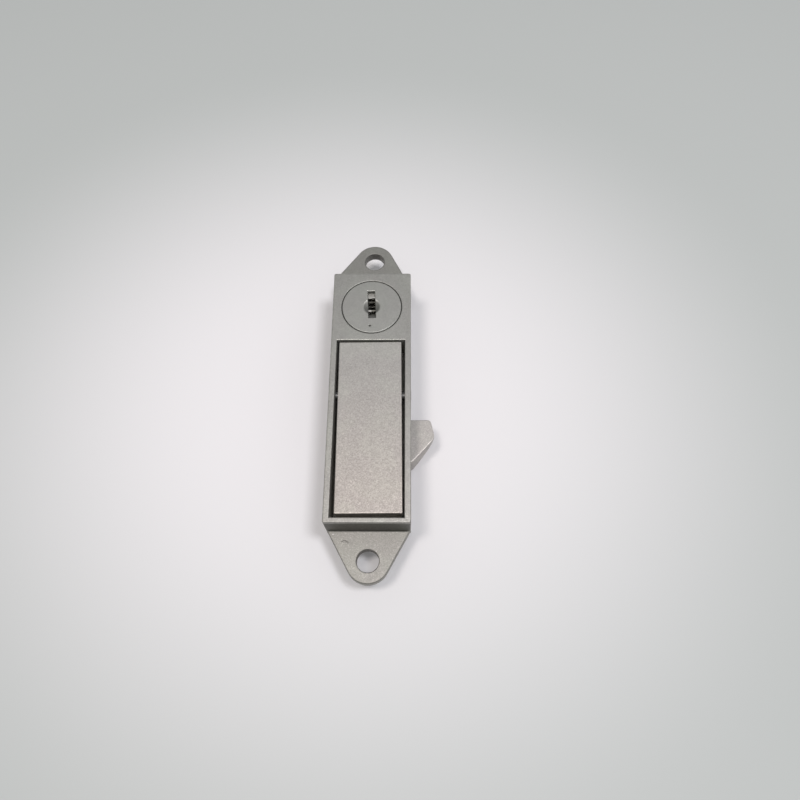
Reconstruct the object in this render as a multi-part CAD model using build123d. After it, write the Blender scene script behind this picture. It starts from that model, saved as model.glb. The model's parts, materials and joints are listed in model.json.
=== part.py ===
from build123d import *
import math
import os

# Flush paddle lock for an electrical cabinet, lying on its back cover.
# Origin: midway between the two mounting holes, on the front plane of the ears.
# +X points to the latch side, +Y to the key end, +Z out of the front face. Sizes in millimetres.

# Housing casting
body_w = 25.0
front_h = 10.4  # front face above the ears' front plane
inner_depth = 11.1  # rear edge of the walls behind the ears' front plane
side_wall = 1.85
end_wall = 1.55  # wall at the grip end of the paddle recess
key_end_wall = 1.85  # wall behind the cam pocket
key_rim = 2.95  # front face between the key cylinder and the key end
bridge_w = 2.4  # front face between the key cylinder and the paddle recess
corner_r = 0.6
edge_r = 0.4
rim_edge = 0.15  # chamfer round the paddle recess and the key cylinder
floor_z = 1.2  # recess floor's front face
cam_room = 7.1  # depth of the pocket behind the key-end block
back_inset = 2.0  # grip end of the box behind the ears, inside the face's grip end

# Ears
ear_t = 3.3
hole_d = 6.6
ear_tip_r = 6.5
key_reach = 11.6  # key-end hole beyond the housing's end
grip_reach = 8.7  # grip-end hole beyond the housing's end
shoulder_left = 6.15  # straight side of the key-end ear, away from the latch
shoulder_right = 1.9  # straight side of the key-end ear, on the latch side
ear_inset = 0.3  # ears narrower than the body, each side
ear_edge_r = 0.35
hole_edge = 0.15
root_fillet = 0.5

# Back cover and its screws
cover_t = 1.5
cover_inset = 0.2
cover_edge = 0.3
screw_r = 1.23
screw_hole_r = 1.25
screw_head_r = 2.35
screw_head_h = 1.3
screw_l = 7.0
screw_cross_l = 3.0
screw_cross_w = 0.42
screw_cross_depth = 0.65
screw_boss_r = 2.6
screw_inset_x = 3.9
screw_inset_y = 3.95

# Paddle
paddle_t = 2.4
paddle_skew = 0.59  # the plate sits slightly turned in its recess, degrees
paddle_off_x = 0.14
paddle_side_gap = 0.95
paddle_key_gap = 0.7
paddle_grip_gap = 1.1
paddle_edge_r = 0.3
skirt_t = 1.4
skirt_h = 3.4
skirt_start = 6.0  # skirt begins this far below the pivot pin
paddle_tilt = 18.0  # travel in degrees
key_arm = 16.5  # from the paddle's key end to its pin
pin_r = 1.5
pin_depth = 4.4  # pin's axis behind the front face
pin_proud = 0.08
lug_r = 2.6
lug_x0 = 3.4
lug_inset = 0.4  # lug's outer face inside the paddle's side
finger_w = 3.0
finger_in = 0.1  # finger's inner face outside the lug's
finger_arm = 12.5  # from the pin's axis to the middle of the finger's nose
nose_r = 1.5
catch_w = 5.0
catch_t = 2.8
catch_inset = 0.2
catch_window_l = 5.6
toe_l = 2.2
toe_h = 1.1
toe_gap = 0.3  # between the toe and the cam's plane

# Release slide
slide_t = 1.2
slide_float = 0.1  # between the slide and the cover
slide_wall_gap = 1.25
slide_in = 4.4  # inner edge from the finger's middle
slide_corner_r = 0.6
tab_w = 5.0
tab_front = 3.6  # tabs' top edges behind the ears' front plane
contact_gap = 0.1
rivet_r = 1.5
rivet_head_r = 2.5
rivet_head_h = 1.0
rivet_edge_r = 0.5
rivet_from_tab = 8.3  # first rivet below the face that the finger pushes
rivet_tab_gap = 0.17  # second rivet's head above the lower tab

# Latch lever
latch_from_side = 5.15  # its pin from the housing's inner side
latch_from_pin = 27.9  # its pin below the paddle's pin
latch_from_wall = 11.1  # its pin from the recess's grip end
latch_swing = 24.0  # travel in degrees
latch_pin_r = 2.0
latch_hub_r = 4.4
latch_front = 1.0  # front face behind the ears' front plane
latch_slide_gap = 0.2
latch_reach = 7.25  # nose beyond the housing's side
latch_arm_l = 8.2  # from the pin up to the head's root
latch_head_l = 14.5  # from the root up to the top edge
latch_arm_in = 0.5  # arm's inner corner beside the pin
latch_root_x = 3.5  # the head's inner corner, from the pin
latch_corner_in = 1.05  # upper corner inside the nose
latch_corner_r = 1.3
latch_nose_drop = 5.1  # nose below the top edge
latch_nose_r = 3.04
latch_foot_out = 0.4  # foot of the slope outside the housing
latch_foot_rise = 0.55  # foot of the slope above the root
latch_foot_r = 3.0
latch_edge_r = 0.3
nose_t = 1.1
bevel_root = 0.5  # full thickness ends this far outside the housing
bevel_mid_out = 0.7  # bulge of the bevel, past the middle of its width
bevel_mid_up = 2.87  # and in front of the latch's rear face
tail_w = 2.2
pad_r = 1.6
slot_end_gap = 0.6
slot_side_gap = 0.4
latch_pin_head_r = 3.2
latch_pin_head_h = 1.0
latch_pin_edge_r = 0.33

# Key cylinder
head_r = 9.45
head_gap = 0.2
head_t = 1.3
head_edge = 0.15
barrel_r = 6.0
barrel_proud = 1.7  # barrel behind the block
dimple_r = 2.8
dimple_floor_r = 1.3
dimple_depth = 0.9
mark_r = 0.38
mark_depth = 0.35
mark_below = 6.9
mark_side = 0.45  # index mark beside the plug's axis, away from the latch
key_w = 2.4
key_up = 5.8  # key slot above the plug's axis
key_down = 2.25
key_ledge = 1.85  # shallow end of the key slot, below its deep part
key_edge = 0.1
key_skew = 3.0  # key slot and wafers stand slightly turned, degrees
key_past_wafer = 0.5  # key slot behind the last wafer
wafer_n = 5
wafer_t = 0.8
wafer_w = 6.0
wafer_pitch = 2.2
wafer_first = 1.7  # first wafer's face behind the front face
wafer_end_gap = 0.1
wafer_throw = 1.4  # room outside the barrel for a raised wafer
window_w = 3.2
window_h = 4.4
window_top = 4.15
window_step = 0.4
wafer_bar = 0.5  # below the window
ear_w = 1.7  # the wafer's side ear, which the spring lifts
ear_h = 0.9
ear_y = 2.1
spring_tube_r = 0.38
spring_tube_bore = 0.2
spring_tube_l = 3.6
groove_half = 3.3
ring_groove = 0.7
ring_lap = 1.4
ring_t = 0.7
ring_gap = 0.15
ring_mouth = 60.0  # opening of the ring, degrees
spigot_r = 3.6
spigot_flat = 2.7
spigot_l = 1.7
cam_t = 1.8
cam_hub_r = 5.2
cam_w = 7.0
cam_side_gap = 0.35
stop_r = 1.2
stop_at = 9.0
washer_r = 4.8
washer_t = 0.6
cam_screw_r = 1.95
cam_screw_web = 0.7  # between the screw's tip and the key slot
cam_screw_head_r = 3.4
cam_screw_head_h = 2.0
cam_screw_edge_r = 0.67
cam_cross_l = 4.1
cam_cross_w = 1.0
cam_cross_depth = 1.0

# Springs: wire, mean radius of the coil, pitch and turns
paddle_wire = 0.5
paddle_coil_r = 1.95
paddle_coil_pitch = 0.95
paddle_coil_turns = 5
paddle_coil_gap = 0.2
paddle_leg = 8.0
latch_wire = 0.7
latch_coil_r = 3.1
latch_coil_pitch = 1.15
latch_coil_turns = 3
latch_coil_gap = 0.6
latch_leg = 8.6
latch_leg_turn = 30.0  # where the legs leave the coil, degrees from the latch side

# Clearances
fit_gap = 0.05  # running fit, radial
seat_gap = 0.02  # fixed pins and rivets, radial
free_gap = 0.4  # round what only passes through
small_gap = 0.05  # each side of a wafer
over = 1.0  # overshoot of a cut past the face that it opens

# Lengths that add up from the pieces they hold
plug_from_end = key_rim + head_gap + head_r
key_block_l = plug_from_end + head_r + head_gap + bridge_w
recess_l = paddle_key_gap + key_arm + latch_from_pin + latch_from_wall
paddle_l = recess_l - paddle_key_gap - paddle_grip_gap
body_l = end_wall + recess_l + key_block_l
hole_spacing = body_l + key_reach + grip_reach
latch_rise = latch_arm_l + latch_head_l
key_depth = wafer_first + (wafer_n - 1) * wafer_pitch + wafer_t + key_past_wafer

# Places across
half_w = body_w / 2
inner_w = half_w - side_wall
paddle_w = 2 * (inner_w - paddle_side_gap)
lug_x1 = paddle_w / 2 - lug_inset
finger_x = -lug_x0 - finger_in - finger_w / 2
latch_x = inner_w - latch_from_side
nose_x = half_w + latch_reach
cam_r = inner_w - cam_side_gap
screw_x = half_w - screw_inset_x

# Places along
key_hole_y = hole_spacing / 2
grip_hole_y = -hole_spacing / 2
key_end_y = key_hole_y - key_reach
grip_end_y = grip_hole_y + grip_reach
back_end_y = grip_end_y + back_inset
recess_y0 = grip_end_y + end_wall
recess_y1 = recess_y0 + recess_l
paddle_y1 = recess_y1 - paddle_key_gap
paddle_mid_y = paddle_y1 - paddle_l / 2
catch_y1 = paddle_y1 - catch_inset
pin_y = paddle_y1 - key_arm
plug_y = key_end_y - plug_from_end
latch_y = pin_y - latch_from_pin
latch_root_y = latch_y + latch_arm_l
latch_top_y = latch_y + latch_rise

# Heights
wall_back = -inner_depth
cover_back = wall_back - cover_t
paddle_back = front_h - paddle_t
pin_z = front_h - pin_depth
latch_z1 = -latch_front
floor_back = latch_z1 + free_gap
slide_z0 = wall_back + slide_float
slide_z1 = slide_z0 + slide_t
latch_z0 = slide_z1 + latch_slide_gap
arm_z0 = wall_back + latch_wire * 1.5 + latch_coil_pitch * latch_coil_turns + latch_coil_gap
block_back = wall_back + cam_room
cam_z1 = block_back - barrel_proud
cam_z0 = cam_z1 - cam_t
catch_back = cam_z1 + toe_gap
washer_z0 = cam_z0 - washer_t
spigot_back = cam_z1 - spigot_l
cam_screw_tip = front_h - key_depth - cam_screw_web
ring_z1 = block_back - ring_gap

# The slide's travel, and the latch's tail that takes it up
slide_travel = finger_arm * math.sin(math.radians(paddle_tilt))
half_swing = math.radians(latch_swing / 2)
tail_arm = slide_travel / (2 * math.sin(half_swing))
pad_x = latch_x - tail_arm * math.cos(half_swing)
pad_y = latch_y + tail_arm * math.sin(half_swing)
upper_tab_y = pin_y - nose_r - contact_gap  # the face that the finger pushes
lower_tab_y = pad_y + pad_r + contact_gap  # the face that pushes the latch's tail

# Fasteners
screw_spots = [(side * screw_x, y) for side in (-1, 1)
               for y in (back_end_y + screw_inset_y, key_end_y - screw_inset_y)]
rivet_spots = [(finger_x, upper_tab_y - rivet_from_tab),
               (finger_x, lower_tab_y + slide_t + rivet_head_r + rivet_tab_gap)]


def box_between(x0, x1, y0, y1, z0, z1):
    return Pos((x0 + x1) / 2, (y0 + y1) / 2, (z0 + z1) / 2) * Box(x1 - x0, y1 - y0, z1 - z0)


def rod_z(r, x, y, z0, z1):
    return Pos(x, y, (z0 + z1) / 2) * Cylinder(r, z1 - z0)


def rod_x(r, x0, x1, y, z):
    return Pos((x0 + x1) / 2, y, z) * Rot(0, 90, 0) * Cylinder(r, x1 - x0)


def raise_face(face, z0, z1):
    return Pos(0, 0, z0) * extrude(face, z1 - z0)


def flare(width, length, x, y, top, depth):
    # what a chamfer round a rectangular opening takes away
    return Pos(x, y, top - depth) * extrude(Rectangle(width, length), depth, taper=-45)


def tangent_spot(x, y, cx, cy, r, turn):
    # where the tangent from x, y touches the circle; turn picks the side
    reach = math.hypot(cx - x, cy - y)
    angle = math.atan2(cy - y, cx - x) + turn * math.asin(r / reach)
    length = math.sqrt(reach ** 2 - r ** 2)
    return (x + length * math.cos(angle), y + length * math.sin(angle))


def cut_cross(piece, x, y, z, length, width, depth, turn):
    # cross recess for a screwdriver, opened from behind
    for angle in (turn, turn + 90):
        piece -= Pos(x, y, z) * Rot(0, 0, angle) * Box(length, width, 2 * depth)
    return piece


def save(shape, name):
    export_step(shape, "parts/" + name + ".step")


def make_ear(end_y, hole_y, left, right):
    # a plate that starts inside the housing's end and tapers to a round tip about the hole
    way = 1 if hole_y > end_y else -1
    side_x = half_w - ear_inset
    left_y = end_y + way * left
    right_y = end_y + way * right
    root_y = end_y - way * ear_t
    left_spot = tangent_spot(-side_x, left_y, 0, hole_y, ear_tip_r, way)
    right_spot = tangent_spot(side_x, right_y, 0, hole_y, ear_tip_r, -way)
    outline = make_face([
        Polyline(right_spot, (side_x, right_y), (side_x, root_y), (-side_x, root_y),
                 (-side_x, left_y), left_spot),
        ThreePointArc(left_spot, (0, hole_y + way * ear_tip_r), right_spot),
    ])
    ear = raise_face(outline, -ear_t, 0)
    ear = fillet(ear.faces().sort_by(Axis.Z)[-1].edges(), ear_edge_r)
    ear -= rod_z(hole_d / 2, 0, hole_y, -ear_t - over, over)
    return ear - Pos(0, hole_y, -hole_edge / 2) * Cone(hole_d / 2, hole_d / 2 + hole_edge, hole_edge)


def make_housing():
    shell = box_between(-half_w, half_w, grip_end_y, key_end_y, -ear_t, front_h)
    shell = fillet(shell.edges().filter_by(Axis.Z), corner_r)
    shell = fillet(shell.faces().sort_by(Axis.Z)[-1].edges(), edge_r)
    behind = box_between(-half_w, half_w, back_end_y, key_end_y, wall_back, -ear_t)
    shell += fillet(behind.edges().filter_by(Axis.Z), corner_r)
    shell += make_ear(key_end_y, key_hole_y, shoulder_left, shoulder_right)
    shell += make_ear(grip_end_y, grip_hole_y, 0, 0)
    # cove where each end of the body meets its ear
    cove_x = half_w - corner_r - ear_edge_r
    for end_y, way in ((key_end_y, 1), (grip_end_y, -1)):
        y0, y1 = sorted((end_y - way * root_fillet, end_y + way * root_fillet))
        shell += box_between(-cove_x, cove_x, y0, y1, 0, root_fillet)
        shell -= rod_x(root_fillet, -half_w, half_w, end_y + way * root_fillet, root_fillet)
    # recess for the paddle, room for the mechanism behind its floor, pocket for the cam
    shell -= box_between(-inner_w, inner_w, recess_y0, recess_y1, floor_z, front_h + over)
    shell -= flare(2 * inner_w, recess_l, 0, recess_y0 + recess_l / 2, front_h, rim_edge)
    shell -= box_between(-inner_w, inner_w, back_end_y + end_wall, recess_y1,
                         wall_back - over, floor_back)
    shell -= box_between(-inner_w, inner_w, recess_y1 - over, key_end_y - key_end_wall,
                         wall_back - over, block_back)
    # bore, counterbore and wafer grooves of the key cylinder
    bore_r = head_r + head_gap
    shell -= rod_z(bore_r, 0, plug_y, front_h - head_t - small_gap, front_h + over)
    shell -= Pos(0, plug_y, front_h - rim_edge / 2) * Cone(bore_r, bore_r + rim_edge, rim_edge)
    shell -= rod_z(barrel_r + fit_gap, 0, plug_y, block_back - over, front_h)
    groove_out = barrel_r + wafer_throw
    shell -= box_between(-groove_half, groove_half, plug_y - groove_out, plug_y + groove_out,
                         block_back - over, front_h - head_t - wafer_t)
    # windows in the recess floor for the paddle's finger and catch
    window_half = finger_w / 2 + 2 * free_gap
    shell -= box_between(finger_x - window_half, finger_x + window_half,
                         pin_y - nose_r - slide_travel, pin_y + nose_r + free_gap,
                         floor_back - over, floor_z + over)
    shell -= box_between(-catch_w / 2 - free_gap, catch_w / 2 + free_gap,
                         recess_y1 - catch_window_l, recess_y1, block_back - over, floor_z + over)
    # side slot that the latch swings through
    slot_y0 = latch_root_y - slot_end_gap
    slot_y1 = latch_y + math.hypot(nose_x - latch_x - nose_t, latch_rise) + slot_end_gap
    shell -= box_between(inner_w - over, half_w + over, slot_y0, slot_y1,
                         latch_z0 - slot_side_gap, floor_back)
    # posts behind the floor and the block, for the cover's screws
    for x, y in screw_spots:
        top = floor_z if y < plug_y else block_back + over
        shell += rod_z(screw_boss_r, x, y, wall_back, top)
        shell -= rod_z(screw_hole_r, x, y, wall_back - over, cover_back + screw_l + free_gap)
    # stops that the cam's tongue turns between
    side = cam_w / 2 + stop_r + contact_gap
    along = math.sqrt(stop_at ** 2 - side ** 2)
    for x, y in ((along, side), (-side, -along)):
        shell += rod_z(stop_r, x, plug_y + y, cam_z0, block_back + over)
    shell -= rod_x(pin_r + seat_gap, -half_w - over, half_w + over, pin_y, pin_z)
    shell -= rod_z(latch_pin_r + seat_gap, latch_x, latch_y, floor_back - over, floor_z + over)
    return shell


def make_back_cover():
    cover = box_between(-half_w + cover_inset, half_w - cover_inset, back_end_y + cover_inset,
                        key_end_y - cover_inset, cover_back, wall_back)
    cover = fillet(cover.edges().filter_by(Axis.Z), corner_r)
    cover = chamfer(cover.faces().sort_by(Axis.Z)[0].edges(), cover_edge)
    for x, y in screw_spots:
        cover -= rod_z(screw_hole_r + fit_gap, x, y, cover_back - over, wall_back + over)
        cover -= Pos(x, y, cover_back + screw_head_h / 2) * Cone(
            screw_head_r + fit_gap, screw_hole_r + fit_gap, screw_head_h)
    for x, y in rivet_spots:
        cover -= rod_z(rivet_r + seat_gap, x, y, cover_back - over, wall_back + over)
    cover -= rod_z(latch_pin_r + seat_gap, latch_x, latch_y, cover_back - over, wall_back + over)
    return cover


def make_cover_screw(x, y):
    head_mid = cover_back + screw_head_h / 2
    screw = Pos(x, y, head_mid) * Cone(screw_head_r, screw_r, screw_head_h)
    screw += rod_z(screw_r, x, y, head_mid, cover_back + screw_l)
    return cut_cross(screw, x, y, cover_back, screw_cross_l, screw_cross_w, screw_cross_depth, 45)


def make_paddle():
    # plate and skirt are cast slightly turned about the plate's middle
    half_l = paddle_l / 2
    plate = Pos(0, 0, paddle_back + paddle_t / 2) * Box(paddle_w, paddle_l, paddle_t)
    plate = fillet(plate.edges().filter_by(Axis.Z), paddle_edge_r)
    plate = fillet(plate.faces().sort_by(Axis.Z)[-1].edges(), paddle_edge_r)
    skirt_y1 = pin_y - skirt_start - paddle_mid_y
    in_x = paddle_w / 2 - skirt_t
    out_x = paddle_w / 2 - paddle_edge_r
    skirt = box_between(-out_x, out_x, -half_l + paddle_edge_r, skirt_y1,
                        paddle_back - skirt_h, paddle_back)
    skirt -= box_between(-in_x, in_x, -half_l + skirt_t, skirt_y1 + over,
                         paddle_back - skirt_h - over, paddle_back)
    body = Pos(paddle_off_x, paddle_mid_y, 0) * Rot(0, 0, paddle_skew) * (plate + skirt)
    for side in (-1, 1):
        x0, x1 = sorted((side * lug_x0, side * lug_x1))
        body += rod_x(lug_r, x0, x1, pin_y, pin_z)
        body += box_between(x0, x1, pin_y - lug_r, pin_y + lug_r, pin_z, paddle_back)
    # finger that pushes the release slide
    x0 = finger_x - finger_w / 2
    x1 = finger_x + finger_w / 2
    nose_z = pin_z - finger_arm
    body += box_between(x0, x1, pin_y - nose_r, pin_y + nose_r, nose_z, pin_z)
    body += rod_x(nose_r, x0, x1, pin_y, nose_z)
    # catch whose toe the locked cam stands behind
    body += box_between(-catch_w / 2, catch_w / 2, catch_y1 - catch_t, catch_y1,
                        catch_back, paddle_back)
    body += box_between(-catch_w / 2, catch_w / 2, catch_y1, catch_y1 + toe_l,
                        catch_back, catch_back + toe_h)
    body -= rod_x(pin_r + fit_gap, -half_w, half_w, pin_y, pin_z)
    # pocket over the spring
    coil_top = pin_z + paddle_coil_r + paddle_wire / 2
    body -= box_between(-lug_x0, lug_x0, pin_y - lug_r, pin_y + paddle_leg + lug_r,
                        pin_z, coil_top + paddle_coil_gap)
    return body


def make_paddle_pin():
    return rod_x(pin_r, -half_w - pin_proud / 2, half_w + pin_proud, pin_y, pin_z)


def make_slide():
    plate = box_between(slide_wall_gap - inner_w, finger_x + slide_in, lower_tab_y, upper_tab_y,
                        slide_z0, slide_z1)
    plate = fillet(plate.edges().filter_by(Axis.Z), slide_corner_r)
    for y in (upper_tab_y - slide_t, lower_tab_y):
        plate += box_between(finger_x - tab_w / 2, finger_x + tab_w / 2, y, y + slide_t,
                             slide_z0, -tab_front)
    r = rivet_r + contact_gap
    for x, y in rivet_spots:
        far = y + slide_travel
        for end_y in (y, far):
            plate -= rod_z(r, x, end_y, slide_z0 - over, slide_z1 + over)
        plate -= box_between(x - r, x + r, y, far, slide_z0 - over, slide_z1 + over)
    return plate


def make_rivet(x, y):
    under_head = slide_z1 + slide_float
    head = rod_z(rivet_head_r, x, y, under_head, under_head + rivet_head_h)
    head = fillet(head.edges().group_by(Axis.Z)[-1], rivet_edge_r)
    return head + rod_z(rivet_r, x, y, cover_back, under_head)


def latch_head_face():
    # hook's outline: straight top, rounded nose and a long slope back to the housing
    slot_x = inner_w - free_gap
    corner = (nose_x - latch_corner_in, latch_top_y)
    foot = (half_w + latch_foot_out, latch_root_y + latch_foot_rise)
    mid_x = nose_x - latch_nose_r
    nose_y = latch_top_y - latch_nose_drop
    upper = tangent_spot(*corner, mid_x, nose_y, latch_nose_r, 1)
    lower = tangent_spot(*foot, mid_x, nose_y, latch_nose_r, -1)
    face = make_face([
        Polyline((slot_x, latch_root_y), (latch_x, latch_root_y),
                 (latch_x + latch_root_x, latch_top_y), corner, upper),
        ThreePointArc(upper, (nose_x, nose_y), lower),
        Polyline(lower, foot, (slot_x, latch_root_y)),
    ])
    face = fillet(face.vertices().sort_by_distance((*corner, 0))[0], latch_corner_r)
    return fillet(face.vertices().sort_by_distance((*foot, 0))[0], latch_foot_r)


def latch_bevel():
    # what the rounded bevel on the back of the head leaves away; it is thin at the nose
    bevel_x = half_w + bevel_root
    thin_z = latch_z1 - nose_t
    mid = ((bevel_x + nose_x) / 2 + bevel_mid_out, latch_z0 + bevel_mid_up)
    face = make_face([
        ThreePointArc((bevel_x, latch_z0), mid, (nose_x, thin_z)),
        Polyline((nose_x, thin_z), (nose_x + over, thin_z), (nose_x + over, latch_z0 - over),
                 (bevel_x, latch_z0 - over), (bevel_x, latch_z0)),
    ])
    return extrude(Plane.XZ * face, body_l, both=True)


def make_latch():
    head = raise_face(latch_head_face(), latch_z0, latch_z1) - latch_bevel()
    # arm from the head down to the hub, and the tail that the slide pushes
    slot_x = inner_w - free_gap
    hub_x = latch_x - latch_hub_r
    arm = make_face(Polyline((slot_x, latch_root_y), (slot_x, latch_y), (hub_x, latch_y),
                             (hub_x, latch_y + latch_hub_r), (latch_x - latch_arm_in, latch_root_y),
                             close=True))
    hub = Pos(latch_x, latch_y) * Circle(latch_hub_r)
    away = math.degrees(math.atan2(pad_y - latch_y, pad_x - latch_x))
    tail = Pos((latch_x + pad_x) / 2, (latch_y + pad_y) / 2) * Rot(0, 0, away) * Rectangle(
        tail_arm, tail_w)
    pad = Pos(pad_x, pad_y) * Circle(pad_r)
    lever = head + raise_face(arm + hub + tail + pad, arm_z0, latch_z1)
    front = [e for e in lever.faces().sort_by(Axis.Z)[-1].edges() if e.center().X > half_w]
    lever = fillet(front, latch_edge_r)
    return lever - rod_z(latch_pin_r + fit_gap, latch_x, latch_y, latch_z0 - over, over)


def make_latch_pin():
    head = rod_z(latch_pin_head_r, latch_x, latch_y, floor_z, floor_z + latch_pin_head_h)
    head = fillet(head.edges().group_by(Axis.Z)[-1], latch_pin_edge_r)
    return head + rod_z(latch_pin_r, latch_x, latch_y, cover_back, floor_z)


def wafer_z(k):
    return front_h - wafer_first - k * wafer_pitch


def in_plug(shape):
    # from the key slot's own axes to its place in the plug
    return Pos(0, plug_y, 0) * Rot(0, 0, key_skew) * shape


def make_plug():
    plug = rod_z(head_r, 0, plug_y, front_h - head_t, front_h)
    plug = chamfer(plug.edges().group_by(Axis.Z)[-1], head_edge)
    plug += rod_z(barrel_r, 0, plug_y, cam_z1, front_h - head_t)
    spigot = rod_z(spigot_r, 0, plug_y, spigot_back, cam_z1)
    plug += spigot & box_between(-spigot_flat, spigot_flat, plug_y - spigot_r, plug_y + spigot_r,
                                 spigot_back, cam_z1)
    # groove for the retaining ring, key slot, dimple, index mark and the screw's hole
    groove = rod_z(barrel_r + over, 0, plug_y, ring_z1 - ring_t - small_gap, ring_z1 + small_gap)
    plug -= groove - rod_z(barrel_r - ring_groove, 0, plug_y, cam_z1, front_h)
    key_y0 = -key_down - key_ledge
    plug -= in_plug(box_between(-key_w / 2, key_w / 2, -key_down, key_up,
                                front_h - key_depth, front_h + over))
    plug -= in_plug(box_between(-key_w / 2, key_w / 2, key_y0, key_up,
                                front_h - wafer_first, front_h + over))
    plug -= in_plug(flare(key_w, key_up - key_y0, 0, (key_up + key_y0) / 2, front_h, key_edge))
    plug -= Pos(0, plug_y, front_h - dimple_depth / 2) * Cone(
        dimple_floor_r, dimple_r, dimple_depth)
    plug -= rod_z(mark_r, -mark_side, plug_y - mark_below, front_h - mark_depth, front_h + over)
    plug -= rod_z(cam_screw_r + seat_gap, 0, plug_y, spigot_back - over,
                  cam_screw_tip + small_gap)
    half = wafer_w / 2 + small_gap
    ear_y0 = ear_y - spring_tube_l - 3 * small_gap
    ear_y1 = ear_y + ear_h + small_gap
    for k in range(wafer_n):
        z1 = wafer_z(k) + small_gap
        z0 = wafer_z(k) - wafer_t - small_gap
        plug -= in_plug(box_between(-half, half, -key_down, barrel_r, z0, z1))
        plug -= in_plug(box_between(0, half + ear_w, ear_y0, ear_y1, z0, z1))
    return plug


def make_wafer(k):
    # a frame round the key, flush with the barrel at its upper end
    drop = window_step * ((2 * k) % wafer_n) / 2
    end_r = barrel_r - wafer_end_gap
    foot = window_top - drop - window_h - wafer_bar
    face = Circle(end_r) & (Pos(0, (foot + end_r) / 2) * Rectangle(wafer_w, end_r - foot))
    ear_out = ear_w - small_gap
    face += Pos((wafer_w + ear_out - over) / 2, ear_y + ear_h / 2) * Rectangle(ear_out + over, ear_h)
    face -= Pos(0, window_top - window_h / 2 - drop) * Rectangle(window_w, window_h)
    return in_plug(raise_face(face, wafer_z(k) - wafer_t, wafer_z(k)))


def make_wafer_spring(k):
    x = wafer_w / 2 + ear_w / 2
    y = ear_y - small_gap - spring_tube_l / 2
    tube = Cylinder(spring_tube_r, spring_tube_l) - Cylinder(spring_tube_bore, spring_tube_l + over)
    return in_plug(Pos(x, y, wafer_z(k) - wafer_t / 2) * Rot(90, 0, 0) * tube)


def make_retaining_ring():
    ring_out = barrel_r + ring_lap
    ring_in = barrel_r - ring_groove + fit_gap
    ring = rod_z(ring_out, 0, plug_y, ring_z1 - ring_t, ring_z1)
    ring -= rod_z(ring_in, 0, plug_y, ring_z1 - ring_t - over, ring_z1 + over)
    half = math.radians(ring_mouth / 2)
    mouth_x = -2 * ring_out * math.cos(half)
    mouth_y = 2 * ring_out * math.sin(half)
    mouth = make_face(Polyline((0, plug_y), (mouth_x, plug_y + mouth_y),
                               (mouth_x, plug_y - mouth_y), close=True))
    return ring - raise_face(mouth, ring_z1 - ring_t - over, ring_z1 + over)


def make_cam():
    disc = Pos(0, plug_y) * Circle(cam_hub_r)
    tongue = (Pos(cam_r / 2, plug_y) * Rectangle(cam_r, cam_w)) & (Pos(0, plug_y) * Circle(cam_r))
    hole = (Pos(0, plug_y) * Circle(spigot_r + fit_gap)) & (
        Pos(0, plug_y) * Rectangle(2 * (spigot_flat + fit_gap), 2 * cam_hub_r))
    return raise_face(disc + tongue - hole, cam_z0, cam_z1)


def make_washer():
    washer = rod_z(washer_r, 0, plug_y, washer_z0, cam_z0)
    return washer - rod_z(cam_screw_r + fit_gap, 0, plug_y, washer_z0 - over, cam_z0 + over)


def make_cam_screw():
    head_back = washer_z0 - cam_screw_head_h
    head = rod_z(cam_screw_head_r, 0, plug_y, head_back, washer_z0)
    head = fillet(head.edges().group_by(Axis.Z)[0], cam_screw_edge_r)
    screw = head + rod_z(cam_screw_r, 0, plug_y, washer_z0, cam_screw_tip)
    return cut_cross(screw, 0, plug_y, head_back, cam_cross_l, cam_cross_w, cam_cross_depth, 0)


def coil_wire(centre, along, side, r, pitch, turns, start, leg_a, leg_b, wire, name):
    # a helix about a line, as biarcs of a quarter turn, with a straight leg at each end
    axis = Vector(*along)
    u = Vector(*side)
    v = axis.cross(u)
    base = Vector(*centre)

    def spot(t):
        a = start + 2 * math.pi * t
        return base + axis * (pitch * t) + u * (r * math.cos(a)) + v * (r * math.sin(a))

    def heading(t):
        a = start + 2 * math.pi * t
        return (axis * pitch + (v * math.cos(a) - u * math.sin(a)) * (2 * math.pi * r)).normalized()

    first = spot(0) - heading(0) * leg_a
    edges = [Edge.make_line(first, spot(0))]
    for k in range(int(round(4 * turns))):
        a, b = spot(k / 4), spot((k + 1) / 4)
        ta, tb = heading(k / 4), heading((k + 1) / 4)
        chord = b - a
        both = ta + tb
        bend = 2 * (1 - ta.dot(tb))
        reach = (math.sqrt(chord.dot(both) ** 2 + bend * chord.dot(chord)) - chord.dot(both)) / bend
        low, high = a + ta * reach, b - tb * reach
        meet = (low + high) * 0.5
        edges.append(Edge.make_tangent_arc(a, ta, meet))
        edges.append(Edge.make_tangent_arc(meet, (high - low).normalized(), b))
    last = spot(turns)
    edges.append(Edge.make_line(last, last + heading(turns) * leg_b))
    per_turn = 48
    spots = [spot(k / per_turn) for k in range(int(per_turn * turns) + 1)]
    least = min((spots[i] - spots[j]).length for i in range(len(spots))
                for j in range(i + per_turn // 2, len(spots)))
    print(name, "least gap between its turns", round(least - wire, 3))
    section = Plane(origin=first, z_dir=heading(0)) * Circle(wire / 2)
    return sweep(section, path=Wire(edges))


def make_paddle_spring():
    # one leg lies under the paddle's key end, the other stands on the recess floor
    turns = paddle_coil_turns + 0.25
    down = pin_z - floor_z - contact_gap
    return coil_wire((-paddle_coil_pitch * turns / 2, pin_y, pin_z), (1, 0, 0), (0, 1, 0),
                     paddle_coil_r, paddle_coil_pitch, turns, math.pi / 2, paddle_leg, down,
                     paddle_wire, "paddle_spring")


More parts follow.
